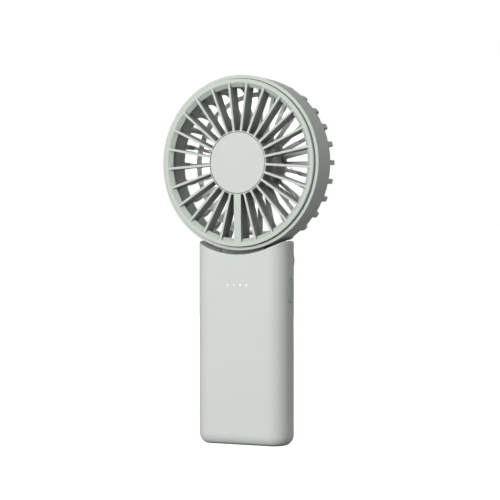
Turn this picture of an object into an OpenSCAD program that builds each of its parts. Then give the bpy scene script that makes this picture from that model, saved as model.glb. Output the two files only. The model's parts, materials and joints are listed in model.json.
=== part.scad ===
// Folding hand-held mini fan: a round caged fan head on a slim battery handle.
// Millimetres, +Z up, the front of the fan faces -Y.
// The origin is the middle of the flat face under the handle.

/* [Handle] */
// Width of the handle
handle_w = 51; // [50:0.5:54]
// Thickness of the handle
handle_t = 21; // [20.6:0.1:22]
// Radius of the handle's upright edges
handle_edge_r = 9; // [8:0.5:10]
// How far the rounding under the handle reaches inwards
foot_r = 4.5; // [3.5:0.5:5]
// How high the rounding under the handle reaches up
foot_h = 5.5; // [4:0.5:6.5]
// Wall thickness of the handle's shell
shell_wall = 1.8; // [1.5:0.1:2]

/* [Head] */
// Height of the fan's axis above the base
head_z = 144.5; // [144:0.5:146]
// Outer radius of the head at its front rim
rim_r = 45; // [44.6:0.1:45.4]
// How far the rim's front plane lies in front of the handle's middle plane
rim_ahead = 8; // [7.6:0.1:8.4]
// Distance from the rim's front plane to the back of the rear grille
head_depth = 24.6; // [24.4:0.1:25]
// Number of thin vanes in the front grille, plus one broad strut
front_vanes = 24; // [18:1:30]
// Number of ribs in the rear grille
rear_ribs = 28; // [20:4:28]

/* [Impeller] */
// Number of impeller blades
blades = 5; // [3:1:6]
// Radius at the blade tips
blade_tip_r = 36.9; // [34:0.1:37.4]
// Radius of the impeller's hub
impeller_hub_r = 14.3; // [14.2:0.1:14.5]

/* [Hinge and button] */
// Height of the tilt axis above the base
hinge_z = 94.5; // [94:0.1:95]
// Distance of the tilt axis behind the handle's middle plane
hinge_y = 5.5; // [5.3:0.1:5.8]
// Height of the power button's middle above the base
button_z = 79.1; // [78:0.1:80]
// How far the power button travels when pressed
button_travel = 0.6; // [0.4:0.1:0.7]

/* [Hidden] */
$fn = 96;
eps = 0.01;
fit_gap = 0.05;      // gap left between pieces that are pressed or screwed together
seam = 0.1;          // gap left round a cover
cut = 1;             // how far a cutting shape runs past the face that it cuts
fine_edge = 0.25;    // small bevel on the edges of the round parts
board_play = 0.15;   // clearance round a boss or a screw in a circuit board

// Handle
front_y = -handle_t / 2;
back_y = handle_t / 2;
inner_front_y = front_y + shell_wall;
inner_back_y = back_y - shell_wall;
horn_top_z = 105;    // top of the two horns beside the head
horn_r = 2;          // rounding of the horns
arc_steps = 10;      // steps in each of the two roundings
scoop_r = rim_r + 2;
cavity_floor_z = 3;
cavity_top_z = 86;

// Rear cover of the handle
cover_w = 32.4;
cover_bottom_z = 5.5;
cover_top_z = 84;
cover_corner_r = 4;
boss_x = 13.2;
boss_zs = [9.5, 79.5];
boss_r = 2.3;
boss_step_r = 3.2;
cover_screw_r = 0.75;
cover_screw_l = 8;
cover_screw_head_r = 1.85;
cover_screw_head_t = 0.85;
cover_screw_sunk = 0.1;
cover_screw_play = 0.35;
cover_screw_hole_front_y = 1;

// Circuit board of the handle
board_front_y = -5.4;
board_t = 1.2;
board_back_y = board_front_y + board_t;
board_w = 36;
board_bottom_z = 3.4;
board_top_z = 84.6;
board_post_x = 15;
board_post_z = 42;
board_post_r = 2;
board_screw_r = 0.65;
board_screw_l = 4.6;
board_screw_head_r = 1.7;
board_screw_head_t = 1.1;
// Left, bottom, right, top and height of the charging chip, the inductor and the motor driver
chips = [[-9, 76.5, -4, 81.5, 1], [3, 76.5, 9, 82.5, 2.8], [-9, 9.5, -5.5, 13.5, 1]];

// Battery
battery_w = 35;
battery_front_y = -1.4;
battery_back_y = 8;
battery_bottom_z = 14.5;
battery_top_z = 68.5;
battery_corner_r = 2;
pad_inset_x = 3;
pad_inset_z = 5;
battery_lead_x = 3;
// Depth and height of each bend of the battery's wires
battery_lead_route = [[3, battery_top_z], [3, battery_top_z + 3], [board_back_y + 2, battery_top_z + 5],
    [board_back_y, battery_top_z + 5]];

// Charging socket
socket_w = 8.9;
socket_h = 3.2;
socket_y = board_back_y + socket_h / 2;
socket_bottom_z = 0.8;
socket_top_z = 8;
socket_shell = 0.3;
socket_gap = 0.2;    // gap between the socket and its opening
tongue_half_w = 3.2;
tongue_half_t = 0.35;
tongue_sunk = 0.6;

// Four battery-level lights in the front face
light_pitch = 3.6;
light_z = 81.9;
light_r = 0.45;
light_xs = [for (k = [-1.5 : 1 : 1.5]) k * light_pitch];
light_bar_half_h = 1;
light_bar_margin = 1.2;
led_w = 1.2;
led_h = 1;
led_t = 0.6;

// Power button in the right side
button_y = 0.3;
button_w = 6.2;
button_h = 11.8;
button_proud = 0.1;
button_gap = 0.2;
button_flange = 0.7;
side_x = handle_w / 2;
button_flange_x = side_x - 3.3;
button_flange_t = 0.8;
button_stem_r = 1.3;
switch_back_x = 15.7;
switch_front_x = 18.9;
plunger_x = 19.6;
plunger_r = 1;
switch_half_h = 2.2;
switch_t = 5.7;

// Hinge
neck_half_w = 12.05;
cheek_x = 12.85;     // inner face of the two knuckles on the handle
barrel_r = 5.6;
trough_r = 6.1;
knuckle_end_x = 22.2;
neck_front_y = -4.6;
neck_round = 4;      // rounding of the neck's lower front edge
neck_back_y = 5.4;
neck_under_z = 95.6;
slot_front_y = -6.6;
slot_floor_z = 95;
pin_r = 1.5;
pin_inner_x = 6;
pin_cap_r = 2.6;
pin_outer_x = 20.6;
washer_t = 0.6;
washer_r = 4.2;
wire_room_half_w = 4.5;
wire_room_r = 3.2;
wire_slot_half_w = 1.6;

// Head, as depths behind the rim's front plane
ring_front = -1.85;
ring_back = 3.9;
ring_r = 43;
ring_face_r = 41.05;
lip_r = 38.95;
lip_front = 0.1;
lip_back = 1.2;
lip_root_back = 2.8;
rim_groove_w = 0.3;   // groove round the grille's ring
rim_groove_depth = 0.7;
drum_back = 13.55;
drum_back_r = 44.5;
drum_inner_r = 40.5;
ring_seat_depth = 4.2;
spigot_front = 10.6;
spigot_r = 42.1;
rear_ring_back = 15.4;
rear_ring_r = 44.45;
shoulder = 0.25;      // half the height of the small cone between the ring and the ribs
rib_outer_r = 43.6;
rib_round = 3.5;
rear_plate_t = 2.2;
rear_inner_edge = 2;  // bevel inside the rear edge
rear_plate_front = head_depth - rear_plate_t;
rear_link_r = 36.3;  // middle radius of the ring that links the rear ribs
rear_link_w = 2.3;
rear_rib_t = 1.9;
rear_slot_w = 7.1;
rear_slot_corner = 1;
inner_slot_r = 16;   // middle of each slot's round inner end

// Front grille's hub, vanes and strut
vane_t = 1.2;
vane_back_at_ring = 3.5;
vane_wall_gap = 0.3;  // gap between the back of a vane's end and the drum's wall
strut_w = 4;
hub_r = 16.5;
hub_front = -2.3;
hub_floor = -0.5;
hub_floor_t = 1.8;
hub_back = 7.2;
hub_wall = 1.4;
vane_back = 5.6;
strut_back = 7.6;
channel_w = 2.6;
channel_front = 3.9;
disc_r = 15.7;
disc_groove = 0.25;

// Motor
motor_front = hub_floor + hub_floor_t;
flange_r = 12;
flange_t = 1;
tube_r = 3.2;
tube_inner_r = 2.52;
tube_back = 16.9;
tube_floor_t = 0.4;
motor_board_r = 11.5;
motor_board_t = 1;
bearing_r = 2.5;
bearing_bore_r = 1.03;
bearing_w = 2.5;
bearing_fronts = [3, 14.2];
stator_r = 9.8;
stator_front = 8.5;
stator_back = 15.5;
stator_yoke_r = 5.2;
tooth_w = 1.8;
tooth_tip_t = 1;
tooth_tip_w = 5.4;
teeth = 9;
coil_t = 0.9;
magnet_r = 11.85;
magnet_inner_r = 10.3;
magnet_front = 8.2;
magnet_back = 16;
can_r = 12.7;
can_wall = 0.8;
can_front = 7.9;
can_back = 18.35;
shaft_r = 1;
shaft_front = 1.9;
shaft_back = 20.6;
clip_r = 1.9;
clip_front = 2.3;
clip_t = 0.3;
motor_screw_ring_r = 9.5;
motor_screws_n = 3;
motor_screw_r = 0.6;
motor_screw_l = 4.2;
motor_screw_head_r = 1.3;
motor_screw_head_t = 0.8;

// Impeller, as depths behind the rim's front plane
impeller_front = 7.7;
impeller_back = 21;
impeller_edge = 1;
blade_half_angle = 18.5;
blade_mid_at_hub = 61.3;
blade_mid_at_tip = 29;
blade_lead_depth = 20.8;
blade_trail_at_hub = 9.6;
blade_trail_at_tip = 13.4;
blade_camber = 1.2;
blade_t_hub = 1.3;
blade_t_tip = 0.8;
blade_root = 0.4;    // how far a blade reaches into the hub
blade_edge_share = 0.25;
blade_rows = 8;      // steps from hub to tip
blade_cols = 8;      // steps from the trailing to the leading edge

// Screws of the head
screw_play = 0.15;    // clearance of a screw in the piece that it holds down
screw_angles = [45, 135, 225, 315];
grille_screw_r = 0.7;
grille_screw_head_r = 1.2;
grille_screw_head_t = 0.8;
grille_screw_ring_r = 42.1;
grille_screw_l = 7;
grille_screw_hole_front = 7.2;

// Wires
wire_r = 0.55;
wire_sides = 8;
wire_hole_r = 1.4;
wire_side = 0.6;     // half the distance between two wires that run side by side
strut_wire_y = -rim_ahead + 5.8;
drum_wall_z = head_z - drum_inner_r;
wire_bend_z = neck_under_z + 3.4;  // where the motor's wires turn back towards the hinge
wire_end_z = hinge_z + 1.4;       // where they end above the handle's wires in the hinge barrel
motor_lead_y = -rim_ahead + motor_front + flange_t + motor_board_t + wire_r + fit_gap;
// Depth and height of each bend of the wires from the board to the hinge, and from there to the motor
hinge_lead_route = [[board_back_y, board_top_z - 4], [board_back_y + 2, board_top_z - 4],
    [1.5, board_top_z - 1.5], [hinge_y, cavity_top_z - 0.5], [hinge_y, hinge_z - 0.8]];
motor_lead_route = [[motor_lead_y, head_z - 10], [motor_lead_y, head_z - 12.5],
    [strut_wire_y, head_z - 17.5], [strut_wire_y, wire_bend_z], [hinge_y, wire_end_z]];

// ---- Shared shapes ----

// Puts children in the head's frame: z is the depth behind the rim, y points down.
module in_head() {
    translate([0, -rim_ahead, head_z]) rotate([-90, 0, 0]) children();
}

// Turns children in the head's frame to an angle counted from +X towards +Z.
module at_angle(angle) {
    rotate([0, 0, -angle]) children();
}

// A disc or cylinder between two depths in the head's frame.
module disc(r, front, back) {
    translate([0, 0, front]) cylinder(r = r, h = back - front);
}

// A flat ring between two depths in the head's frame.
module ring(r, inner_r, front, back) {
    difference() {
        disc(r, front, back);
        disc(inner_r, front - cut, back + cut);
    }
}

// A box given by its two far corners.
module span(low, high) {
    translate(low) cube(high - low);
}

// A cylinder along X between two places.
module rod_x(r, x0, x1, y, z) {
    translate([x0, y, z]) rotate([0, 90, 0]) cylinder(r = r, h = x1 - x0);
}

// A cylinder along Y between two places.
module rod_y(r, y0, y1, x, z) {
    translate([x, y0, z]) rotate([-90, 0, 0]) cylinder(r = r, h = y1 - y0);
}

// A flat outline with two straight sides and two round ends, long along Y.
module pill(w, h) {
    square([w, h - w], center = true);
    for (end = [-1, 1]) translate([0, end * (h - w) / 2]) circle(d = w);
}

// A rectangle with round corners.
module round_rect(w, h, r) {
    square([w - 2 * r, h], center = true);
    square([w, h - 2 * r], center = true);
    for (x = [-1, 1], y = [-1, 1]) translate([x * (w / 2 - r), y * (h / 2 - r)]) circle(r = r);
}

// Repeats children on the right and on the left.
module both_sides() {
    children();
    mirror([1, 0, 0]) children();
}

// A round wire through points that share one X, swept as a tube with mitred bends.
module wire(points) {
    last = len(points) - 1;
    function unit(v) = v / norm(v);
    function step(k) = unit(points[k + 1] - points[k]);
    function way(k) = k == 0 ? step(0) : k == last ? step(last - 1) : unit(step(k - 1) + step(k));
    function stretch(k) = k == 0 || k == last ? 1 : 1 / (way(k) * step(k));
    rings = [for (k = [0 : last], j = [0 : wire_sides - 1])
        let(a = 360 * j / wire_sides, across = cross(way(k), [1, 0, 0]))
        points[k] + wire_r * (cos(a) * [1, 0, 0] + sin(a) * stretch(k) * across)];
    walls = [for (k = [0 : last - 1], j = [0 : wire_sides - 1])
        let(a = k * wire_sides + j, b = k * wire_sides + (j + 1) % wire_sides)
        [a, b, b + wire_sides, a + wire_sides]];
    start = [for (j = [wire_sides - 1 : -1 : 0]) j];
    end = [for (j = [0 : wire_sides - 1]) last * wire_sides + j];
    polyhedron(rings, concat(walls, [start, end]));
}

// Two wires at equal distances from the middle plane, through bends given by depth and height.
module wire_pair(route, x) {
    for (side = [-1, 1]) wire([for (bend = route) [side * x, bend.x, bend.y]]);
}

// A countersunk or flat-headed screw along +Z, with its head's top at z = 0.
module screw(shank_r, shank_l, head_r, head_t) {
    translate([0, 0, -head_t]) cylinder(r = head_r, h = head_t);
    translate([0, 0, -shank_l]) cylinder(r = shank_r, h = shank_l);
}

// ---- Handle ----

// One upright edge of the handle's outer form, rounded below and above.
module handle_corner() {
    foot = [for (k = [0 : arc_steps]) let(a = 90 * k / arc_steps)
        [handle_edge_r - foot_r + foot_r * sin(a), foot_h - foot_h * cos(a)]];
    horn = [for (k = [0 : arc_steps]) let(a = 90 * k / arc_steps)
        [handle_edge_r - horn_r + horn_r * cos(a), horn_top_z - horn_r + horn_r * sin(a)]];
    rotate_extrude($fn = 48) polygon(concat([[0, 0]], foot, horn, [[0, horn_top_z]]));
}

// Outer form of the handle before the scoop is cut.
module handle_form() {
    hull()
        for (x = [-1, 1], y = [-1, 1])
            translate([x * (handle_w / 2 - handle_edge_r), y * (handle_t / 2 - handle_edge_r), 0])
                handle_corner();
}

// Space for the parts inside the handle.
module handle_cavity() {
    translate([0, 0, cavity_floor_z])
        linear_extrude(cavity_top_z - cavity_floor_z)
            round_rect(handle_w - 2 * shell_wall, handle_t - 2 * shell_wall, handle_edge_r - shell_wall);
}

// Outline of the rear cover, grown by a margin.
module cover_outline(margin) {
    translate([0, (cover_bottom_z + cover_top_z) / 2])
        round_rect(cover_w + 2 * margin, cover_top_z - cover_bottom_z + 2 * margin, cover_corner_r + margin);
}

module cover_plate(y0, y1, margin) {
    translate([0, y1, 0]) rotate([90, 0, 0]) linear_extrude(y1 - y0) cover_outline(margin);
}

// Space for the head's neck and hinge barrel to lie and turn in.
module hinge_slot() {
    rod_x(trough_r, -cheek_x, cheek_x, hinge_y, hinge_z);
    span([-cheek_x, slot_front_y, slot_floor_z], [cheek_x, back_y + cut * 2, horn_top_z + cut]);
}

module knuckles() {
    both_sides() rod_x(barrel_r, cheek_x - cut, knuckle_end_x, hinge_y, hinge_z);
}

module button_outline(margin) {
    pill(button_w + 2 * margin, button_h + 2 * margin);
}

// The power button's outline as a bar along X.
module button_bar(x0, x1, margin) {
    translate([x0, button_y, button_z]) rotate([90, 0, 90]) linear_extrude(x1 - x0) button_outline(margin);
}

module cover_bosses() {
    both_sides() for (z = boss_zs) {
        rod_y(boss_r, inner_front_y - eps, inner_back_y - fit_gap, boss_x, z);
        rod_y(boss_step_r, inner_front_y - eps, board_front_y - fit_gap, boss_x, z);
    }
    both_sides()
        rod_y(board_post_r, inner_front_y - eps, board_front_y - fit_gap, board_post_x, board_post_z);
}

module front_shell() {
    color([0.80, 0.82, 0.79]) difference() {
        union() {
            difference() {
                union() {
                    handle_form();
                    knuckles();
                }
                handle_cavity();
                cover_plate(inner_back_y - cut, back_y + cut, seam);
            }
            cover_bosses();
        }
        rod_y(scoop_r, front_y - cut, back_y + cut * 3, 0, head_z);
        hinge_slot();
        both_sides() {
            rod_x(pin_r + eps, cheek_x - cut, knuckle_end_x, hinge_y, hinge_z);
            rod_x(pin_cap_r + fit_gap, pin_outer_x, knuckle_end_x + cut * 4, hinge_y, hinge_z);
        }
        button_bar(button_flange_x - cut, side_x + cut, button_gap);
        for (x = light_xs) rod_y(light_r + fit_gap, front_y - cut, inner_front_y + cut, x, light_z);
        translate([0, socket_y, -cut]) linear_extrude(cavity_floor_z + 2 * cut)
            rotate(90) pill(socket_h + 2 * socket_gap, socket_w + 2 * socket_gap);
        both_sides() for (z = boss_zs)
            rod_y(cover_screw_r + fit_gap, cover_screw_hole_front_y, inner_back_y + cut, boss_x, z);
        both_sides()
            rod_y(board_screw_r + fit_gap, inner_front_y, board_front_y + cut, board_post_x, board_post_z);
        translate([0, hinge_y, cavity_top_z - cut]) cylinder(r = wire_hole_r, h = hinge_z - cavity_top_z);
    }
}

module rear_cover() {
    color([0.80, 0.82, 0.79]) difference() {
        cover_plate(inner_back_y, back_y, 0);
        both_sides() for (z = boss_zs) {
            rod_y(cover_screw_r + cover_screw_play, inner_back_y - cut, back_y + cut, boss_x, z);
            rod_y(cover_screw_head_r + seam, back_y - cover_screw_sunk - cover_screw_head_t - fit_gap,
                back_y + cut, boss_x, z);
        }
    }
}

module cover_screws() {
    color("silver") both_sides() for (z = boss_zs)
        translate([boss_x, back_y - cover_screw_sunk, z]) rotate([-90, 0, 0])
            screw(cover_screw_r, cover_screw_l, cover_screw_head_r, cover_screw_head_t);
}

module battery_pack() {
    color([0.75, 0.76, 0.78])
        translate([0, battery_back_y, (battery_bottom_z + battery_top_z) / 2]) rotate([90, 0, 0])
            linear_extrude(battery_back_y - battery_front_y)
                round_rect(battery_w, battery_top_z - battery_bottom_z, battery_corner_r);
}

module battery_pad() {
    color([0.2, 0.2, 0.2])
        span([-battery_w / 2 + pad_inset_x, battery_back_y, battery_bottom_z + pad_inset_z],
            [battery_w / 2 - pad_inset_x, inner_back_y, battery_top_z - pad_inset_z]);
}

module battery_leads() {
    color([0.8, 0.1, 0.1]) wire_pair(battery_lead_route, battery_lead_x);
}

module main_board() {
    color([0.1, 0.35, 0.2]) difference() {
        span([-board_w / 2, board_front_y, board_bottom_z], [board_w / 2, board_back_y, board_top_z]);
        both_sides() {
            for (z = boss_zs) rod_y(boss_r + board_play, board_front_y - cut, board_back_y + cut, boss_x, z);
            rod_y(board_screw_r + board_play, board_front_y - cut, board_back_y + cut,
                board_post_x, board_post_z);
        }
    }
}

// Charging chip, inductor and motor driver on the back of the board.
module board_components() {
    color([0.12, 0.12, 0.12]) for (chip = chips)
        span([chip[0], board_back_y, chip[1]], [chip[2], board_back_y + chip[4], chip[3]]);
}

module board_screws() {
    color("silver") both_sides()
        translate([board_post_x, board_back_y + board_screw_head_t, board_post_z]) rotate([-90, 0, 0])
            screw(board_screw_r, board_screw_l, board_screw_head_r, board_screw_head_t);
}

module usb_c_socket() {
    color("silver") difference() {
        translate([0, socket_y, socket_bottom_z]) linear_extrude(socket_top_z - socket_bottom_z)
            rotate(90) pill(socket_h, socket_w);
        translate([0, socket_y, socket_bottom_z - cut]) linear_extrude(socket_top_z - socket_bottom_z)
            rotate(90) pill(socket_h - 2 * socket_shell, socket_w - 2 * socket_shell);
    }
    color([0.15, 0.15, 0.15])
        span([-tongue_half_w, socket_y - tongue_half_t, socket_bottom_z + tongue_sunk],
            [tongue_half_w, socket_y + tongue_half_t, socket_top_z - cut / 2]);
}

module light_guide() {
    color([0.95, 0.95, 0.95]) {
        for (x = light_xs) rod_y(light_r, front_y, inner_front_y + seam, x, light_z);
        span([light_xs[0] - light_bar_margin, inner_front_y + fit_gap, light_z - light_bar_half_h],
            [light_xs[3] + light_bar_margin, board_front_y - led_t - seam, light_z + light_bar_half_h]);
    }
}

module status_leds() {
    color([1, 1, 0.9]) for (x = light_xs)
        span([x - led_w / 2, board_front_y - led_t, light_z - led_h / 2],
            [x + led_w / 2, board_front_y, light_z + led_h / 2]);
}

module button_switch() {
    color([0.3, 0.3, 0.3]) {
        span([switch_back_x, board_back_y, button_z - switch_half_h],
            [switch_front_x, board_back_y + switch_t, button_z + switch_half_h]);
        rod_x(plunger_r, switch_front_x - eps, plunger_x, button_y, button_z);
    }
}

module power_button() {
    color([0.70, 0.73, 0.70]) {
        button_bar(button_flange_x, side_x + button_proud, 0);
        button_bar(button_flange_x - button_flange_t, button_flange_x, button_flange);
        rod_x(button_stem_r, plunger_x + button_travel + seam, button_flange_x, button_y, button_z);
    }
}

// ---- Hinge ----

module hinge_pins() {
    color("silver") both_sides() rod_x(pin_r, pin_inner_x, pin_outer_x, hinge_y, hinge_z);
}

module hinge_washers() {
    color([0.75, 0.65, 0.4]) both_sides() difference() {
        rod_x(washer_r, neck_half_w + seam, neck_half_w + seam + washer_t, hinge_y, hinge_z);
        rod_x(pin_r + fit_gap, neck_half_w, cheek_x, hinge_y, hinge_z);
    }
}

// Plugs over the pins' ends, flush with the rounded sides of the handle.
module hinge_pin_caps() {
    color([0.80, 0.82, 0.79]) both_sides() intersection() {
        rod_x(pin_cap_r, pin_outer_x, side_x, hinge_y, hinge_z);
        translate([side_x - handle_edge_r, back_y - handle_edge_r, hinge_z - 2 * pin_cap_r])
            cylinder(r = handle_edge_r, h = 4 * pin_cap_r);
    }
}

module hinge_leads() {
    color([0.1, 0.1, 0.1]) wire_pair(hinge_lead_route, wire_side);
}

// ---- Head ----

// Side outline of the neck, by depth and height: a block with a round lower front edge, and the barrel.
module neck_outline() {
    round_y = neck_front_y + neck_round;
    round_z = neck_under_z + neck_round;
    translate([neck_front_y, round_z]) square([neck_back_y - neck_front_y, drum_wall_z - round_z]);
    translate([round_y, neck_under_z]) square([neck_back_y - round_y, drum_wall_z - neck_under_z]);
    translate([round_y, round_z]) circle(r = neck_round);
    translate([hinge_y, hinge_z]) circle(r = barrel_r);
}

// Piece under the rim that joins the drum to the hinge.
module neck() {
    difference() {
        rotate([90, 0, 90]) linear_extrude(2 * neck_half_w, center = true) neck_outline();
        in_head() disc(ring_r + fit_gap, -cut, head_depth);
    }
}

// Room inside the hinge barrel for the wires, open over the quarter that faces the handle.
module wire_room() {
    rod_x(wire_room_r, -wire_room_half_w, wire_room_half_w, hinge_y, hinge_z);
    both_sides() rod_x(pin_r + fit_gap, wire_room_half_w - cut, neck_half_w + cut, hinge_y, hinge_z);
    span([-wire_slot_half_w, hinge_y - wire_slot_half_w, hinge_z - barrel_r - cut],
        [wire_slot_half_w, hinge_y + barrel_r + cut, hinge_z + wire_slot_half_w]);
    wire_channel();
}

// Passage from the drum's wall down to the room in the barrel.
module wire_channel() {
    translate([0, strut_wire_y, wire_bend_z]) {
        reach = [hinge_y - strut_wire_y, wire_end_z - wire_bend_z];
        cylinder(r = wire_hole_r, h = drum_wall_z - neck_under_z);
        rotate([atan2(reach.y, reach.x) - 90, 0, 0]) cylinder(r = wire_hole_r, h = norm(reach));
        sphere(r = wire_hole_r + seam);
    }
}

module drum_profile() {
    polygon([
        [ring_r + rim_groove_w, 0], [rim_r - fine_edge, 0], [rim_r, fine_edge], [drum_back_r, drum_back],
        [spigot_r + fit_gap, drum_back], [spigot_r + fit_gap, spigot_front - fit_gap],
        [drum_inner_r, spigot_front - fit_gap], [drum_inner_r, ring_seat_depth],
        [ring_r + fit_gap, ring_seat_depth], [ring_r + fit_gap, rim_groove_depth],
        [ring_r + rim_groove_w, rim_groove_depth]]);
}

module fan_housing() {
    color([0.62, 0.66, 0.62]) difference() {
        union() {
            in_head() rotate_extrude() drum_profile();
            neck();
        }
        wire_room();
        in_head() for (angle = screw_angles) at_angle(angle) translate([grille_screw_ring_r, 0, 0])
            disc(grille_screw_r + fit_gap, grille_screw_hole_front, drum_back + cut);
    }
}

module ring_profile() {
    polygon([
        [ring_face_r, ring_front], [ring_r - fine_edge, ring_front], [ring_r, ring_front + fine_edge],
        [ring_r, ring_back], [drum_inner_r + seam, ring_back], [drum_inner_r + seam, lip_root_back],
        [lip_r, lip_back], [lip_r, lip_front]]);
}

module hub_profile() {
    polygon([
        [0, hub_floor], [disc_r + disc_groove, hub_floor], [disc_r + disc_groove, hub_front],
        [hub_r - fine_edge, hub_front], [hub_r, hub_front + fine_edge], [hub_r, hub_back],
        [hub_r - hub_wall, hub_back], [hub_r - hub_wall, motor_front], [0, motor_front]]);
}

// A plate that runs from the hub to the ring.
module vane(thickness, back) {
    root_r = hub_r - hub_wall / 2;
    wall_r = drum_inner_r - vane_wall_gap;
    tip_r = (ring_face_r + ring_r) / 2;
    rotate([90, 0, 0]) linear_extrude(thickness, center = true) polygon([
        [root_r, hub_front + fit_gap], [ring_face_r, ring_front + fit_gap], [tip_r, ring_front + fit_gap],
        [tip_r, vane_back_at_ring], [wall_r, vane_back_at_ring], [wall_r, back], [root_r, back]]);
}

module front_grille() {
    pitch = 360 / (front_vanes + 1);
    color([0.83, 0.86, 0.82]) in_head() difference() {
        union() {
            rotate_extrude() ring_profile();
            rotate_extrude() hub_profile();
            for (k = [1 : front_vanes]) at_angle(270 + k * pitch) vane(vane_t, vane_back);
            at_angle(270) vane(strut_w, strut_back);
        }
        at_angle(270) span([hub_r - 2 * hub_wall, -channel_w / 2, channel_front],
            [ring_face_r + seam, channel_w / 2, strut_back + cut]);
        at_motor_screws() disc(motor_screw_r + fit_gap, hub_floor - cut, motor_front + cut);
    }
}

module front_disc() {
    color([0.84, 0.85, 0.84]) in_head() rotate_extrude() polygon([
        [0, hub_floor - fit_gap], [disc_r, hub_floor - fit_gap], [disc_r, hub_front + fine_edge],
        [disc_r - fine_edge, hub_front], [0, hub_front]]);
}

// Section of the rear grille before its slots are cut.
module rear_profile() {
    polygon([
        [0, rear_plate_front], [drum_inner_r - rear_inner_edge, rear_plate_front],
        [drum_inner_r, rear_plate_front - rear_inner_edge], [drum_inner_r, spigot_front],
        [spigot_r, spigot_front], [spigot_r, drum_back + seam], [rear_ring_r, drum_back + seam],
        [rear_ring_r, rear_ring_back - shoulder], [rib_outer_r, rear_ring_back + shoulder],
        [rib_outer_r, head_depth - rib_round], [rib_outer_r - rib_round, head_depth - rib_round],
        [rib_outer_r - rib_round, head_depth], [0, head_depth]]);
    translate([rib_outer_r - rib_round, head_depth - rib_round]) intersection() {
        circle(r = rib_round);
        square(rib_round + cut);
    }
}

// Gap between two ribs where they wrap round the rear edge.
module outer_slot() {
    start_r = rear_link_r + rear_link_w / 2;
    length = rib_outer_r - start_r + 3 * cut;
    height = head_depth - rear_ring_back + 3 * cut;
    translate([start_r + length / 2, 0, rear_ring_back + height / 2]) rotate([90, 0, 90])
        linear_extrude(length, center = true) round_rect(rear_slot_w, height, rear_slot_corner);
}

// Gap between two ribs from the hub out to the linking ring.
module inner_slot() {
    end_r = rear_link_r - rear_link_w / 2;
    half_pitch = 180 / rear_ribs;
    inner_half = inner_slot_r * sin(half_pitch) - rear_rib_t / 2;
    outer_half = end_r * sin(half_pitch) - rear_rib_t / 2;
    translate([0, 0, rear_plate_front - cut]) linear_extrude(rear_plate_t + 2 * cut) {
        polygon([[inner_slot_r, -inner_half], [end_r, -outer_half], [end_r, outer_half],
            [inner_slot_r, inner_half]]);
        translate([inner_slot_r, 0]) circle(r = inner_half, $fn = 32);
    }
}

module rear_grille() {
    pitch = 360 / rear_ribs;
    color([0.62, 0.66, 0.62]) in_head() difference() {
        rotate_extrude() rear_profile();
        for (k = [0 : rear_ribs - 1]) at_angle((k + 0.5) * pitch) {
            outer_slot();
            inner_slot();
        }
        for (angle = screw_angles) at_angle(angle) translate([grille_screw_ring_r, 0, 0]) {
            disc(grille_screw_r + screw_play, spigot_front - cut, rear_ring_back + cut);
            disc(grille_screw_head_r + screw_play, rear_ring_back - grille_screw_head_t,
                rear_ring_back + cut);
        }
    }
}

module grille_screws() {
    color("silver") in_head() for (angle = screw_angles) at_angle(angle)
        translate([grille_screw_ring_r, 0, rear_ring_back - fit_gap])
            screw(grille_screw_r, grille_screw_l, grille_screw_head_r, grille_screw_head_t - fit_gap);
}

// ---- Motor ----

// Repeats children, which are in the head's frame, at the motor's screws.
module at_motor_screws() {
    for (k = [0 : motor_screws_n - 1])
        at_angle(90 + k * 360 / motor_screws_n) translate([motor_screw_ring_r, 0, 0]) children();
}

module motor_base() {
    color([0.72, 0.6, 0.35]) in_head() difference() {
        union() {
            disc(flange_r, motor_front, motor_front + flange_t);
            disc(tube_r, motor_front, tube_back);
        }
        disc(tube_inner_r, motor_front + tube_floor_t, tube_back + cut);
        at_motor_screws() disc(motor_screw_r + fit_gap, motor_front - cut, motor_front + 2 * flange_t);
    }
}

module motor_board() {
    front = motor_front + flange_t;
    color([0.1, 0.35, 0.2]) in_head() difference() {
        ring(motor_board_r, tube_r + fit_gap, front, front + motor_board_t);
        at_motor_screws() disc(motor_screw_r + board_play, front - cut, front + 2 * motor_board_t);
    }
}

// Outline of the laminated core: a yoke with T-shaped teeth.
module stator_outline() {
    difference() {
        union() {
            circle(r = stator_yoke_r);
            for (k = [0 : teeth - 1]) rotate(k * 360 / teeth) {
                translate([0, -tooth_w / 2]) square([stator_r - tooth_tip_t / 2, tooth_w]);
                intersection() {
                    difference() {
                        circle(r = stator_r);
                        circle(r = stator_r - tooth_tip_t);
                    }
                    translate([0, -tooth_tip_w / 2]) square([stator_r + cut, tooth_tip_w]);
                }
            }
        }
        circle(r = tube_r + fit_gap);
    }
}

module stator_core() {
    color([0.45, 0.45, 0.47]) in_head() translate([0, 0, stator_front])
        linear_extrude(stator_back - stator_front) stator_outline();
}

module stator_windings() {
    gap = 0.08;
    end_gap = 0.2;
    inner_r = stator_yoke_r + end_gap;
    outer_r = stator_r - tooth_tip_t - end_gap;
    color([0.72, 0.42, 0.2]) in_head() for (k = [0 : teeth - 1]) at_angle(k * 360 / teeth) difference() {
        span([inner_r, -tooth_w / 2 - coil_t, stator_front - coil_t],
            [outer_r, tooth_w / 2 + coil_t, stator_back + coil_t]);
        span([inner_r - cut, -tooth_w / 2 - gap, stator_front - gap],
            [outer_r + cut, tooth_w / 2 + gap, stator_back + gap]);
    }
}

module shaft_bearings() {
    color("silver") in_head() for (front = bearing_fronts)
        ring(bearing_r, bearing_bore_r, front, front + bearing_w);
}

module motor_screws() {
    color("silver") in_head() at_motor_screws()
        translate([0, 0, motor_front + flange_t + motor_board_t + motor_screw_head_t])
            screw(motor_screw_r, motor_screw_l, motor_screw_head_r, motor_screw_head_t);
}

module motor_leads() {
    color([0.1, 0.1, 0.1]) wire_pair(motor_lead_route, wire_side);
}

// ---- Impeller ----

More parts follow.
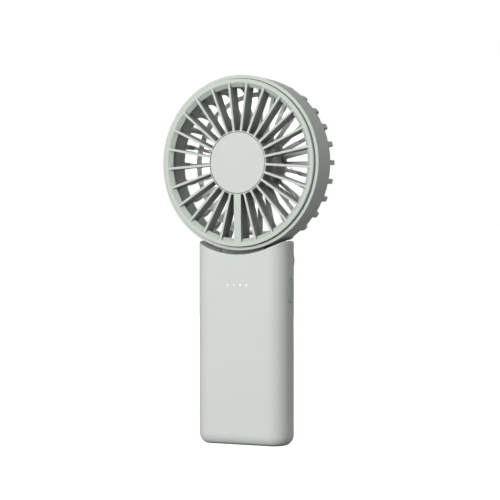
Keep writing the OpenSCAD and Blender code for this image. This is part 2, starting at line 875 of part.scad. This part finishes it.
// A point on the blade's middle surface: u runs from hub to tip, v from trailing to leading edge.
function blade_point(u, v, lift) =
    let(root_r = impeller_hub_r - blade_root,
        r = root_r + u * (blade_tip_r - root_r),
        mid = blade_mid_at_hub + u * (blade_mid_at_tip - blade_mid_at_hub),
        angle = mid + blade_half_angle * (1 - 2 * v),
        trail = blade_trail_at_hub + u * (blade_trail_at_tip - blade_trail_at_hub),
        depth = trail + v * (blade_lead_depth - trail) - blade_camber * 4 * v * (1 - v))
    [r * cos(angle), -r * sin(angle), depth + lift];

// Half the blade's thickness, thin at its two edges and full in the middle.
function blade_half_t(u, v) =
    (blade_t_hub + u * (blade_t_tip - blade_t_hub)) *
    (blade_edge_share + (1 - 2 * blade_edge_share) * sqrt(v * (1 - v)));

module blade() {
    cols = blade_cols + 1;
    side = (blade_rows + 1) * cols;
    points = [for (face = [-1, 1], i = [0 : blade_rows], j = [0 : blade_cols])
        let(u = i / blade_rows, v = j / blade_cols) blade_point(u, v, face * blade_half_t(u, v))];
    front_faces = [for (i = [0 : blade_rows - 1], j = [0 : blade_cols - 1])
        let(a = i * cols + j) each [[a, a + cols, a + cols + 1], [a, a + cols + 1, a + 1]]];
    back_faces = [for (f = front_faces) [f[0] + side, f[2] + side, f[1] + side]];
    rim = concat(
        [for (j = [0 : blade_cols]) j],
        [for (i = [1 : blade_rows]) i * cols + blade_cols],
        [for (j = [blade_cols - 1 : -1 : 0]) blade_rows * cols + j],
        [for (i = [blade_rows - 1 : -1 : 1]) i * cols]);
    edge_faces = [for (k = [0 : len(rim) - 1])
        let(a = rim[k], b = rim[(k + 1) % len(rim)]) each [[a, b, b + side], [a, b + side, a + side]]];
    polyhedron(points, concat(front_faces, back_faces, edge_faces));
}

module impeller() {
    color([0.92, 0.92, 0.93]) in_head() {
        rotate_extrude() polygon([
            [shaft_r + eps, can_back + fit_gap], [shaft_r + eps, impeller_back],
            [impeller_hub_r - impeller_edge, impeller_back], [impeller_hub_r, impeller_back - impeller_edge],
            [impeller_hub_r, impeller_front], [can_r + fit_gap, impeller_front],
            [can_r + fit_gap, can_back + fit_gap]]);
        for (k = [0 : blades - 1]) at_angle(k * 360 / blades) blade();
    }
}

module rotor_can() {
    color([0.6, 0.6, 0.62]) in_head() rotate_extrude() polygon([
        [shaft_r + eps, can_back - can_wall], [shaft_r + eps, can_back], [can_r, can_back],
        [can_r, can_front], [can_r - can_wall, can_front], [can_r - can_wall, can_back - can_wall]]);
}

module rotor_magnet() {
    color([0.25, 0.25, 0.27]) in_head() ring(magnet_r, magnet_inner_r, magnet_front, magnet_back);
}

module motor_shaft() {
    color("silver") in_head() disc(shaft_r, shaft_front, shaft_back);
}

module shaft_clip() {
    color([0.3, 0.3, 0.3]) in_head() ring(clip_r, shaft_r + eps, clip_front, clip_front + clip_t);
}

front_shell();
rear_cover();
cover_screws();
battery_pack();
battery_pad();
battery_leads();
main_board();
board_components();
board_screws();
usb_c_socket();
light_guide();
status_leds();
button_switch();
hinge_leads();
hinge_pins();
hinge_washers();
hinge_pin_caps();
power_button();
fan_housing();
front_grille();
front_disc();
rear_grille();
grille_screws();
motor_base();
motor_board();
stator_core();
stator_windings();
shaft_bearings();
motor_screws();
motor_leads();
impeller();
rotor_can();
rotor_magnet();
motor_shaft();
shaft_clip();
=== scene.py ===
"""Looks of a folding hand-held fan: materials, fine edges, a smooth impeller, light and camera.

Everything is in metres, +Z up, and the front of the fan faces -Y.
"""
import json
import math

import bmesh
import bpy
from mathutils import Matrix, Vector

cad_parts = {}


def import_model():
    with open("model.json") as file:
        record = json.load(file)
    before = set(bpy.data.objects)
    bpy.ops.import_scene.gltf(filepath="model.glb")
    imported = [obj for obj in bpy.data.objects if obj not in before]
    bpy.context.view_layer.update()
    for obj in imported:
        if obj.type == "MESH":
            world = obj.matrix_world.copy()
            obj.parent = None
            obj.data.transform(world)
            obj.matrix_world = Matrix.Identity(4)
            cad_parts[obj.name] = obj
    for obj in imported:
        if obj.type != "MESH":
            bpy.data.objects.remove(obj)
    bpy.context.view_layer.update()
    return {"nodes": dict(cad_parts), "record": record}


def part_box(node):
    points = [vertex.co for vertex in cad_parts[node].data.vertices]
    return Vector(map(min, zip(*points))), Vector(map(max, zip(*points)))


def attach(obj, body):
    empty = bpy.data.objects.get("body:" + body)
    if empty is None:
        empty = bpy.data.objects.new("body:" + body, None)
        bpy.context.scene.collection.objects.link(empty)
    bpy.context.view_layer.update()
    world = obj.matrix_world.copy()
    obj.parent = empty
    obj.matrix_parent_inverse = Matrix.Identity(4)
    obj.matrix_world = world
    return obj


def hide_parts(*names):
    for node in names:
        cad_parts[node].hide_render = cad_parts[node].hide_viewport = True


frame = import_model()

MM = 0.001
WHITE = (1, 1, 1, 1)

# ---- Places taken from the frame ----

shaft_low, shaft_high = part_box("motor_shaft")
can_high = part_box("rotor_can")[1]

RIM_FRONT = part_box("fan_housing")[0].y
HEAD_AXIS_HEIGHT = (shaft_low.z + shaft_high.z) / 2


# ---- Colours ----

def srgb(red, green, blue):
    """A colour given as it shows on a screen, from 0 to 255, in Blender's linear values."""
    def linear(value):
        """One channel, by the curve of the sRGB standard."""
        share = value / 255
        return share / 12.92 if share <= 0.04045 else ((share + 0.055) / 1.055) ** 2.4

    return (linear(red), linear(green), linear(blue), 1.0)


def scaled(colour, factor):
    """The same colour, lighter or darker."""
    return tuple(min(1.0, channel * factor) for channel in colour[:3]) + (1.0,)


# ---- Node trees ----

# Places of the sockets on a Mix node that mixes colours
MIX_FACTOR = 0
MIX_FIRST = 6
MIX_SECOND = 7
MIX_RESULT = 2

PLAIN_DETAIL = 2
NO_STRETCH = (1, 1, 1)
EDGE_SAMPLES = 4
EDGE_TURN = 0.8
RECESS_SAMPLES = 8
RECESS_CLOSED = 0.1
RECESS_OPEN = 0.75


class Nodes:
    """Short ways to add and connect nodes in one node tree."""

    def __init__(self, tree):
        self.tree = tree

    def connect(self, socket, value):
        """Fills a socket with a number or colour, or with another node's output."""
        if isinstance(value, bpy.types.NodeSocket):
            self.tree.links.new(value, socket)
        else:
            socket.default_value = value

    def fill(self, node, **inputs):
        """Fills a node's inputs, named with _ for each space."""
        for name, value in inputs.items():
            self.connect(node.inputs[name.replace("_", " ")], value)

    def node(self, kind, **inputs):
        """Adds a node and fills its inputs."""
        made = self.tree.nodes.new(kind)
        self.fill(made, **inputs)
        return made

    def math(self, operation, *values):
        """The result of one operation on numbers or outputs."""
        made = self.node("ShaderNodeMath")
        made.operation = operation
        for socket, value in zip(made.inputs, values):
            self.connect(socket, value)
        return made.outputs[0]

    def dot(self, first, second):
        """How far two directions agree, from -1 to 1."""
        made = self.node("ShaderNodeVectorMath")
        made.operation = "DOT_PRODUCT"
        self.connect(made.inputs[0], first)
        self.connect(made.inputs[1], second)
        return made.outputs["Value"]

    def mix(self, factor, first, second):
        """A colour between two others."""
        made = self.node("ShaderNodeMix")
        made.data_type = "RGBA"
        self.connect(made.inputs[MIX_FACTOR], factor)
        self.connect(made.inputs[MIX_FIRST], first)
        self.connect(made.inputs[MIX_SECOND], second)
        return made.outputs[MIX_RESULT]

    def share(self, value, low, high):
        """0 where the value is at low and 1 where it is at high."""
        return self.node("ShaderNodeMapRange", Value=value, From_Min=low, From_Max=high).outputs[0]

    def between(self, share, low, high):
        """A value from 0 to 1 as one from low to high."""
        return self.node("ShaderNodeMapRange", Value=share, To_Min=low, To_Max=high).outputs[0]


class Surface(Nodes):
    """A node material under construction, around one Principled shader."""

    def __init__(self, name):
        self.material = bpy.data.materials.new(name)
        self.material.use_nodes = True
        super().__init__(self.material.node_tree)
        self.shader = self.tree.nodes["Principled BSDF"]
        self.place = self.node("ShaderNodeTexCoord").outputs["Object"]

    def noise(self, size, detail=PLAIN_DETAIL, stretch=NO_STRETCH):
        """Soft noise from 0 to 1 with features about this size, in metres."""
        place = self.node("ShaderNodeMapping", Vector=self.place, Scale=stretch).outputs[0]
        return self.node("ShaderNodeTexNoise", Vector=place, Scale=1 / size, Detail=detail).outputs["Fac"]

    def cells(self, size):
        """Rounded cells about this size, as in an eroded mould surface."""
        made = self.node("ShaderNodeTexVoronoi", Vector=self.place, Scale=1 / size)
        made.feature = "SMOOTH_F1"
        return made.outputs["Distance"]

    def edges(self, radius):
        """1 along sharp outer and inner edges, falling to 0 within this radius."""
        rounded = self.node("ShaderNodeBevel", Radius=radius)
        rounded.samples = EDGE_SAMPLES
        normal = self.node("ShaderNodeNewGeometry").outputs["Normal"]
        return self.share(self.dot(rounded.outputs[0], normal), 1.0, EDGE_TURN)

    def painted_shade_mask(self, shade_reach):
        """A mask for painted shade: 1 on open surfaces, falling towards 0 in grooves and between close
        neighbours.
        """
        recess = self.node("ShaderNodeAmbientOcclusion", Distance=shade_reach)
        recess.samples = RECESS_SAMPLES
        return self.share(recess.outputs["AO"], RECESS_CLOSED, RECESS_OPEN)

    def bump(self, height, depth):
        """Raises the surface by height, from 0 to 1, times depth in metres."""
        made = self.node("ShaderNodeBump", Height=height, Strength=1.0, Distance=depth)
        self.set(Normal=made.outputs[0])

    def set(self, **inputs):
        """Fills the Principled shader's inputs."""
        self.fill(self.shader, **inputs)


# ---- Moulded plastic ----

PLASTIC_IOR = 1.46
MOTTLE_SIZE = 14 * MM
MOTTLE_DETAIL = 3
MOTTLE_DARK = 0.975
MOTTLE_LIGHT = 1.025
# How dark the painted shade in recesses makes the plastic, as a share of its colour
RECESS_SHADE = 0.22
RUB_RADIUS = 0.25 * MM
RUB_PATCH = 2.5 * MM
RUB_LEAST = 0.2
RUB_MOST = 0.5
RUB_LIGHT = 1.16
RUB_POLISH = 0.12
SHEEN_PATCH = 1.2 * MM
SHEEN_CHANGE = 0.05
SHELL_GRAIN = 0.3 * MM
FINE_GRAIN = 0.22 * MM
SPECKS_PER_GRAIN = 3
SPECK_HEIGHT = 0.5
WAVE_SIZE = 4 * MM
WAVE_HEIGHT = 1.2
GRAIN_DEPTH = 0.012 * MM
# How far the painted shade looks for close surfaces, on the handle and on the head's cage
HANDLE_SHADE_REACH = 1.5 * MM
CAGE_SHADE_REACH = 13 * MM


def moulded_plastic(name, colour, roughness, grain=SHELL_GRAIN, shade_reach=HANDLE_SHADE_REACH):
    """Matte moulded plastic: an eroded mould grain, faint mottling, rubbed edges and painted shade in
    recesses.
    """
    surface = Surface(name)
    mottle = surface.noise(MOTTLE_SIZE, detail=MOTTLE_DETAIL)
    clean = surface.mix(mottle, scaled(colour, MOTTLE_DARK), scaled(colour, MOTTLE_LIGHT))
    # Painted shade: the colour darkens in grooves, recesses and between close parts
    painted_shade_colour = surface.mix(surface.painted_shade_mask(shade_reach), scaled(colour, RECESS_SHADE), clean)
    patches = surface.between(surface.noise(RUB_PATCH), RUB_LEAST, RUB_MOST)
    rubbed = surface.math("MULTIPLY", surface.edges(RUB_RADIUS), patches)
    sheen = surface.noise(SHEEN_PATCH)
    matte = surface.between(sheen, roughness - SHEEN_CHANGE, roughness + SHEEN_CHANGE)
    polish = surface.math("MULTIPLY", rubbed, RUB_POLISH)
    surface.set(
        Base_Color=surface.mix(rubbed, painted_shade_colour, scaled(colour, RUB_LIGHT)),
        Roughness=surface.math("SUBTRACT", matte, polish),
        IOR=PLASTIC_IOR,
    )
    specks = surface.math("MULTIPLY", surface.noise(grain / SPECKS_PER_GRAIN), SPECK_HEIGHT)
    pits = surface.math("ADD", surface.cells(grain), specks)
    waves = surface.math("MULTIPLY", surface.noise(WAVE_SIZE), WAVE_HEIGHT)
    surface.bump(surface.math("ADD", pits, waves), GRAIN_DEPTH)
    return surface.material


# ---- Translucent plastic ----

CLOUD_SIZE = 9 * MM
CLOUD_DETAIL = 3
CLOUD_DARK = 0.97
BLADE_SMEAR = 1.5 * MM
BLADE_ROUGHNESS = (0.28, 0.36)
BLADE_IOR = 1.08
BLADE_CLEARNESS = 0.8
BLADE_RIPPLE = 2.2 * MM
BLADE_RIPPLE_DEPTH = 0.012 * MM

GUIDE_CLOUD = 0.6 * MM
GUIDE_DARK = 0.96
GUIDE_SMEAR = 0.4 * MM
GUIDE_ROUGHNESS = (0.3, 0.4)
GUIDE_RIPPLE = 0.5 * MM
GUIDE_RIPPLE_DEPTH = 0.01 * MM


def milky_plastic(name, colour):
    """Translucent white plastic of the blades."""
    surface = Surface(name)
    cloud = surface.noise(CLOUD_SIZE, detail=CLOUD_DETAIL)
    surface.set(
        Base_Color=surface.mix(cloud, scaled(colour, CLOUD_DARK), colour),
        Roughness=surface.between(surface.noise(BLADE_SMEAR), *BLADE_ROUGHNESS),
        IOR=BLADE_IOR,
        Transmission_Weight=BLADE_CLEARNESS,
    )
    surface.bump(surface.noise(BLADE_RIPPLE), BLADE_RIPPLE_DEPTH)
    return surface.material


def lit_plastic(name, colour, glow):
    """Milky plastic with a light in it or behind it."""
    surface = Surface(name)
    surface.set(
        Base_Color=surface.mix(surface.noise(GUIDE_CLOUD), scaled(colour, GUIDE_DARK), colour),
        Roughness=surface.between(surface.noise(GUIDE_SMEAR), *GUIDE_ROUGHNESS),
        Emission_Color=colour,
        Emission_Strength=glow,
    )
    surface.bump(surface.noise(GUIDE_RIPPLE), GUIDE_RIPPLE_DEPTH)
    return surface.material


# ---- Metals and the parts inside ----

LINE_SIZE = 0.35 * MM
LINE_DETAIL = 4
LINE_STRETCH = (1, 1, 6)
LINE_DEPTH = 0.006 * MM
TARNISH_SIZE = 3 * MM
TARNISH_DARK = 0.9
TARNISH_LIGHT = 1.05
METAL_POLISHED = 0.08
METAL_DULLED = 0.1

TRACK_SPACING = 3 * MM
TRACK_WIDTH = 0.06
TRACK_LIGHT = 1.9
TRACK_HEIGHT = 0.03 * MM
MASK_SMEAR = 0.8 * MM
MASK_ROUGHNESS = (0.25, 0.4)
MASK_COAT = 0.4

SPECKLE_SIZE = 0.15 * MM
SPECKLE_DETAIL = 3
SPECKLE_LIGHT = 1.8
SPECKLE_DEPTH = 0.01 * MM
PACKAGE_ROUGHNESS = (0.5, 0.7)

PORE_SIZE = 0.25 * MM
PORE_DETAIL = 4
PORE_DARK = 0.8
PORE_LIGHT = 1.3
PORE_DEPTH = 0.03 * MM
PORE_CHANGE = 0.08
SOFT_SHEEN = 0.15

TURN_SPACING = 1.6 * MM
TURN_WAVER = 0.4
TURN_DARK = 0.6
TURN_DEPTH = 0.08 * MM
ENAMEL_METALLIC = 0.8
ENAMEL_SMEAR = 0.5 * MM
ENAMEL_ROUGHNESS = (0.25, 0.4)
ENAMEL_COAT = 0.6


def metal(name, colour, roughness, stretch=LINE_STRETCH):
    """Turned or drawn metal with fine lines along one axis."""
    surface = Surface(name)
    lines = surface.noise(LINE_SIZE, detail=LINE_DETAIL, stretch=stretch)
    tarnish = surface.noise(TARNISH_SIZE)
    surface.set(
        Base_Color=surface.mix(tarnish, scaled(colour, TARNISH_DARK), scaled(colour, TARNISH_LIGHT)),
        Metallic=1.0,
        Roughness=surface.between(lines, roughness - METAL_POLISHED, roughness + METAL_DULLED),
    )
    surface.bump(lines, LINE_DEPTH)
    return surface.material


def circuit_board(name, colour):
    """Solder mask over copper tracks, which show as slightly raised lighter lines."""
    surface = Surface(name)
    grid = surface.node("ShaderNodeTexBrick", Vector=surface.place)
    surface.fill(grid, Scale=1 / TRACK_SPACING, Mortar_Size=TRACK_WIDTH)
    tracks = grid.outputs["Fac"]
    surface.set(
        Base_Color=surface.mix(tracks, colour, scaled(colour, TRACK_LIGHT)),
        Roughness=surface.between(surface.noise(MASK_SMEAR), *MASK_ROUGHNESS),
        Coat_Weight=MASK_COAT,
    )
    surface.bump(tracks, TRACK_HEIGHT)
    return surface.material


def dark_package(name, colour):
    """Black moulded chip packages, switches and magnets."""
    surface = Surface(name)
    speckle = surface.noise(SPECKLE_SIZE, detail=SPECKLE_DETAIL)
    surface.set(
        Base_Color=surface.mix(speckle, colour, scaled(colour, SPECKLE_LIGHT)),
        Roughness=surface.between(speckle, *PACKAGE_ROUGHNESS),
    )
    surface.bump(speckle, SPECKLE_DEPTH)
    return surface.material


def soft_cover(name, colour, roughness):
    """Rubbery wire insulation or foam."""
    surface = Surface(name)
    pores = surface.noise(PORE_SIZE, detail=PORE_DETAIL)
    surface.set(
        Base_Color=surface.mix(pores, scaled(colour, PORE_DARK), scaled(colour, PORE_LIGHT)),
        Roughness=surface.between(pores, roughness - PORE_CHANGE, roughness + PORE_CHANGE),
        Sheen_Weight=SOFT_SHEEN,
    )
    surface.bump(pores, PORE_DEPTH)
    return surface.material


def winding(name, colour):
    """Enamelled copper wire, wound in close turns."""
    surface = Surface(name)
    wave = surface.node("ShaderNodeTexWave", Vector=surface.place)
    surface.fill(wave, Scale=1 / TURN_SPACING, Distortion=TURN_WAVER)
    wave.bands_direction = "Y"
    turns = wave.outputs["Fac"]
    surface.set(
        Base_Color=surface.mix(turns, scaled(colour, TURN_DARK), colour),
        Metallic=ENAMEL_METALLIC,
        Roughness=surface.between(surface.noise(ENAMEL_SMEAR), *ENAMEL_ROUGHNESS),
        Coat_Weight=ENAMEL_COAT,
    )
    surface.bump(turns, TURN_DEPTH)
    return surface.material


# ---- One material for each slot ----

def make_materials():
    """One material for each of the record's material slots."""
    sage = srgb(214, 219, 213)
    # The same sage plastic made darker: painted shade on the head, its grilles and the button
    sage_painted_shade = srgb(205, 212, 204)
    badge = srgb(213, 215, 212)
    return {
        "sage_shell": moulded_plastic("sage_shell", sage, roughness=0.62),
        "sage_head": moulded_plastic("sage_head", sage_painted_shade, roughness=0.6, shade_reach=CAGE_SHADE_REACH),
        "badge_disc": moulded_plastic("badge_disc", badge, roughness=0.5, grain=FINE_GRAIN),
        "button_plastic": moulded_plastic("button_plastic", sage_painted_shade, roughness=0.5, grain=FINE_GRAIN),
        "impeller_plastic": milky_plastic("impeller_plastic", srgb(250, 248, 250)),
        "light_pipe": lit_plastic("light_pipe", srgb(252, 252, 252), glow=0.35),
        "led": lit_plastic("led", srgb(255, 255, 240), glow=2.0),
        "steel": metal("steel", srgb(170, 170, 172), roughness=0.35),
        "plated_steel": metal("plated_steel", srgb(200, 200, 203), roughness=0.2),
        "brass_part": metal("brass_part", srgb(205, 176, 110), roughness=0.3),
        "magnet": dark_package("magnet", srgb(52, 52, 55)),
        "copper_wire": winding("copper_wire", srgb(214, 128, 76)),
        "circuit_board": circuit_board("circuit_board", srgb(24, 92, 56)),
        "chips": dark_package("chips", srgb(34, 34, 35)),
        "cell_wrap": metal("cell_wrap", srgb(196, 198, 202), roughness=0.4, stretch=NO_STRETCH),
        "foam": soft_cover("foam", srgb(44, 44, 44), roughness=0.85),
        "wire_cover": soft_cover("wire_cover", srgb(30, 30, 31), roughness=0.6),
    }


def dress_nodes(materials):
    """Gives every CAD node the material that the record names for it."""
    for row in frame["record"]["subparts"]:
        node = frame["nodes"][row["node"]]
        node.data.materials.clear()
        node.data.materials.append(materials[row["material_slot"]])


# ---- Fine edges ----

EDGE_RADIUS = {
    "front_shell": 0.2 * MM,
    "rear_cover": 0.2 * MM,
    "fan_housing": 0.12 * MM,
    "front_grille": 0.2 * MM,
    "rear_grille": 0.4 * MM,
    "front_disc": 0.1 * MM,
    "power_button": 0.2 * MM,
}
# The nodes whose short edges would otherwise stop the rounding everywhere
UNCLAMPED = ("rear_grille",)
WELD_GAP = 0.001 * MM
BEVEL_STEPS = 2
CAD_EDGE_TURN = math.radians(28)


def round_edges(piece, radius, least_turn, clamp=True):
    """Rounds the edges that turn by more than least_turn, and keeps the faces between them even."""
    bevel = piece.modifiers.new("bevel", "BEVEL")
    bevel.width = radius
    bevel.segments = BEVEL_STEPS
    bevel.limit_method = "ANGLE"
    bevel.angle_limit = least_turn
    bevel.use_clamp_overlap = clamp
    normals = piece.modifiers.new("normals", "WEIGHTED_NORMAL")
    normals.keep_sharp = True


def soften_edges(node_name, radius):
    """Joins a CAD mesh's faces and rounds its sharp edges a little."""
    node = frame["nodes"][node_name]
    weld = node.modifiers.new("weld", "WELD")
    weld.merge_threshold = WELD_GAP
    round_edges(node, radius, CAD_EDGE_TURN, clamp=node_name not in UNCLAMPED)


# ---- Impeller ----
# Depths run backwards from the rim's front plane, and angles from +X towards +Z.
# The blades' angles are in degrees.

SHAFT_GAP = 0.01 * MM
CAN_GAP = 0.05 * MM
HUB_WALL = 1.55 * MM
HUB_FLOOR_THICKNESS = 2.6 * MM
HUB_ROUND = 1 * MM
HUB_ROUND_STEPS = 6
HUB_SIDES = 128
HUB_BORE_R = shaft_high.x + SHAFT_GAP
HUB_INNER_R = can_high.x + CAN_GAP
HUB_OUTER_R = HUB_INNER_R + HUB_WALL
HUB_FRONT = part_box("impeller")[0].y - RIM_FRONT
HUB_FLOOR = can_high.y - RIM_FRONT + CAN_GAP
HUB_BACK = HUB_FLOOR + HUB_FLOOR_THICKNESS

BLADES = 5
BLADE_IN_HUB = 0.4 * MM
BLADE_ROOT_R = HUB_OUTER_R - BLADE_IN_HUB
BLADE_TIP_R = 36.9 * MM
BLADE_HALF_ANGLE = 18.5
BLADE_MID_AT_HUB = 61.3
BLADE_MID_AT_TIP = 29
BLADE_LEAD_DEPTH = 20.8 * MM
BLADE_TRAIL_AT_HUB = 9.6 * MM
BLADE_TRAIL_AT_TIP = 13.4 * MM
BLADE_CAMBER = 1.2 * MM
BLADE_T_HUB = 1.3 * MM
BLADE_T_TIP = 0.8 * MM
BLADE_EDGE_SHARE = 0.25
BLADE_ROWS = 20
BLADE_COLUMNS = 24
IMPELLER_EDGE_RADIUS = 0.12 * MM
IMPELLER_EDGE_TURN = math.radians(40)
FULL_TURN = 360


def in_head(radius, angle, depth):
    """A place in the head, from its distance and angle in radians about the rotor's axis, and its depth."""
    return Vector((radius * math.cos(angle), RIM_FRONT + depth, HEAD_AXIS_HEIGHT + radius * math.sin(angle)))


def blend(start, end, share):
    """A value part of the way from start to end."""
    return start + (end - start) * share


def blade_point(out, along, side, turn):
    """A point on a blade's front (side -1) or back (side 1).

    out runs from 0 at the hub to 1 at the tip, and along from the trailing to the leading edge.
    """
    middle = blend(BLADE_MID_AT_HUB, BLADE_MID_AT_TIP, out)
    angle = math.radians(middle + BLADE_HALF_ANGLE * (1 - 2 * along) + turn)
    trailing = blend(BLADE_TRAIL_AT_HUB, BLADE_TRAIL_AT_TIP, out)
    arch = along * (1 - along)
    depth = blend(trailing, BLADE_LEAD_DEPTH, along) - BLADE_CAMBER * 4 * arch
    fullness = BLADE_EDGE_SHARE + (1 - 2 * BLADE_EDGE_SHARE) * math.sqrt(arch)
    lift = side * blend(BLADE_T_HUB, BLADE_T_TIP, out) * fullness
    return in_head(blend(BLADE_ROOT_R, BLADE_TIP_R, out), angle, depth + lift)


def blade_side(mesh, side, turn):
    """One side of a blade: a grid of vertices, in rows from the hub to the tip, joined by faces."""
    grid = [[mesh.verts.new(blade_point(i / BLADE_ROWS, j / BLADE_COLUMNS, side, turn))
             for j in range(BLADE_COLUMNS + 1)] for i in range(BLADE_ROWS + 1)]
    for i in range(BLADE_ROWS):
        for j in range(BLADE_COLUMNS):
            corners = (grid[i][j], grid[i + 1][j], grid[i + 1][j + 1], grid[i][j + 1])
            mesh.faces.new(corners if side < 0 else corners[::-1])
    return grid


def add_blade(mesh, turn):
    """One closed, twisted blade with a thin leading and trailing edge."""
    front = blade_side(mesh, -1, turn)
    back = blade_side(mesh, 1, turn)
    rim = [(0, j) for j in range(BLADE_COLUMNS)]
    rim += [(i, BLADE_COLUMNS) for i in range(BLADE_ROWS)]
    rim += [(BLADE_ROWS, j) for j in range(BLADE_COLUMNS, 0, -1)]
    rim += [(i, 0) for i in range(BLADE_ROWS, 0, -1)]
    for (i, j), (k, m) in zip(rim, rim[1:] + rim[:1]):
        mesh.faces.new((front[i][j], front[k][m], back[k][m], back[i][j]))


def hub_section():
    """The hub's outline as distances from the axis and depths, from the bore outwards."""
    quarter = [math.pi / 2 * k / HUB_ROUND_STEPS for k in range(HUB_ROUND_STEPS + 1)]
    arc = [(HUB_OUTER_R - HUB_ROUND * (1 - math.sin(turn)), HUB_BACK - HUB_ROUND * (1 - math.cos(turn)))
           for turn in quarter]
    section = [(HUB_BORE_R, HUB_FLOOR), (HUB_BORE_R, HUB_BACK)] + arc
    section += [(HUB_OUTER_R, HUB_FRONT), (HUB_INNER_R, HUB_FRONT), (HUB_INNER_R, HUB_FLOOR)]
    return section


def add_hub(mesh):
    """The cup that fits over the motor's can, with a rounded back edge."""
    section = hub_section()
    angles = [2 * math.pi * k / HUB_SIDES for k in range(HUB_SIDES)]
    rings = [[mesh.verts.new(in_head(radius, angle, depth)) for radius, depth in section]
             for angle in angles]
    count = len(section)
    for near, far in zip(rings, rings[1:] + rings[:1]):
        for k in range(count):
            after = (k + 1) % count
            mesh.faces.new((near[k], far[k], far[after], near[after]))


def smooth_impeller(material):
    """Finer blades and hub in place of the plain CAD impeller."""
    mesh = bmesh.new()
    add_hub(mesh)
    for k in range(BLADES):
        add_blade(mesh, k * FULL_TURN / BLADES)
    bmesh.ops.recalc_face_normals(mesh, faces=mesh.faces[:])
    data = bpy.data.meshes.new("impeller_moulding")
    mesh.to_mesh(data)
    mesh.free()
    data.shade_smooth()
    data.materials.append(material)
    made = bpy.data.objects.new("impeller_moulding", data)
    bpy.context.scene.collection.objects.link(made)
    round_edges(made, IMPELLER_EDGE_RADIUS, IMPELLER_EDGE_TURN)
    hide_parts("impeller")
    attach(made, "rotor")


# ---- Floor ----

FLOOR_RADIUS = 120
FLOOR_SIDES = 64
FLOOR_DROP = 0.05 * MM
FLOOR_ROUGHNESS = 0.9
FLOOR_COLOUR = srgb(250, 250, 250)
FLOOR_BOUNCE = 0.25
FLOOR_GLOW = 0.8


def floor():
    """A plain pale floor that runs out to the horizon."""
    mesh = bmesh.new()
    bmesh.ops.create_circle(mesh, cap_ends=True, segments=FLOOR_SIDES, radius=FLOOR_RADIUS)
    data = bpy.data.meshes.new("floor")
    mesh.to_mesh(data)
    mesh.free()
    made = bpy.data.objects.new("floor", data)
    made.location.z = -FLOOR_DROP
    bpy.context.scene.collection.objects.link(made)
    surface = Surface("floor")
    seen = surface.node("ShaderNodeLightPath").outputs["Is Camera Ray"]
    surface.set(
        Base_Color=surface.mix(seen, scaled(WHITE, FLOOR_BOUNCE), FLOOR_COLOUR),
        Roughness=FLOOR_ROUGHNESS,
        Emission_Color=WHITE,
        Emission_Strength=surface.math("MULTIPLY", seen, FLOOR_GLOW),
    )
    data.materials.append(surface.material)


# ---- Light ----

BRIGHT_SIDE = Vector((0.88, 0.35, 0.2))
WORLD_BRIGHT = 0.58
WORLD_DIM = 0.03
WORLD_FOCUS = 1.5
LAMP_SIZE = 0.8
LAMP_TARGET = Vector((0, 0, 0.1))
KEY_PLACE = (-0.22, -1.4, 0.5)
KEY_WATTS = 18.4
FILL_PLACE = (-0.7, 1.2, 0.5)
FILL_WATTS = 4.0


def soft_light(name, place, watts):
    """A square lamp that points at the middle of the fan."""
    data = bpy.data.lights.new(name, "AREA")
    data.size = LAMP_SIZE
    data.energy = watts
    made = bpy.data.objects.new(name, data)
    made.location = place
    made.rotation_euler = (LAMP_TARGET - made.location).to_track_quat("-Z", "Y").to_euler()
    bpy.context.scene.collection.objects.link(made)


def world():
    """Soft light that comes mostly from the right, before a white background."""
    made = bpy.data.worlds.new("studio")
    made.use_nodes = True
    made.node_tree.nodes.clear()
    nodes = Nodes(made.node_tree)
    way = nodes.node("ShaderNodeTexCoord").outputs["Generated"]
    facing = nodes.share(nodes.dot(way, BRIGHT_SIDE.normalized()), -1.0, 1.0)
    focused = nodes.math("POWER", facing, WORLD_FOCUS)
    strength = nodes.math("MULTIPLY_ADD", focused, WORLD_BRIGHT, WORLD_DIM)
    lighting = nodes.node("ShaderNodeBackground", Color=WHITE, Strength=strength).outputs[0]
    backdrop = nodes.node("ShaderNodeBackground", Color=WHITE, Strength=1.0).outputs[0]
    path = nodes.node("ShaderNodeLightPath")
    seen = nodes.math("MAXIMUM", path.outputs["Is Camera Ray"], path.outputs["Is Transmission Ray"])
    choose = nodes.node("ShaderNodeMixShader")
    for socket, value in zip(choose.inputs, (seen, lighting, backdrop)):
        nodes.connect(socket, value)
    nodes.node("ShaderNodeOutputWorld", Surface=choose.outputs[0])
    bpy.context.scene.world = made


# ---- Camera ----

VIEW_AZIMUTH = math.radians(27.9)
VIEW_DISTANCE = 1.024
VIEW_HEIGHT = 111.3 * MM
LEVEL = math.radians(90)
LENS = 144
SENSOR = 36
SHIFT_X = 0.0216
SHIFT_Y = -0.0448
FARTHEST_SEEN = 500


def camera():
    """A level view from the front right, as a product picture is taken."""
    data = bpy.data.cameras.new("camera")
    data.lens = LENS
    data.sensor_width = SENSOR
    data.shift_x = SHIFT_X
    data.shift_y = SHIFT_Y
    data.clip_end = FARTHEST_SEEN
    made = bpy.data.objects.new("camera", data)
    made.location = (
        VIEW_DISTANCE * math.sin(VIEW_AZIMUTH),
        RIM_FRONT - VIEW_DISTANCE * math.cos(VIEW_AZIMUTH),
        VIEW_HEIGHT,
    )
    made.rotation_euler = (LEVEL, 0, VIEW_AZIMUTH)
    bpy.context.scene.collection.objects.link(made)
    bpy.context.scene.camera = made


def studio():
    """The floor, the light and the camera."""
    floor()
    world()
    soft_light("key", KEY_PLACE, KEY_WATTS)
    soft_light("back_fill", FILL_PLACE, FILL_WATTS)
    camera()
    bpy.context.scene.view_settings.view_transform = "Standard"


materials = make_materials()
dress_nodes(materials)
for name, radius in EDGE_RADIUS.items():
    soften_edges(name, radius)
smooth_impeller(materials["impeller_plastic"])
studio()
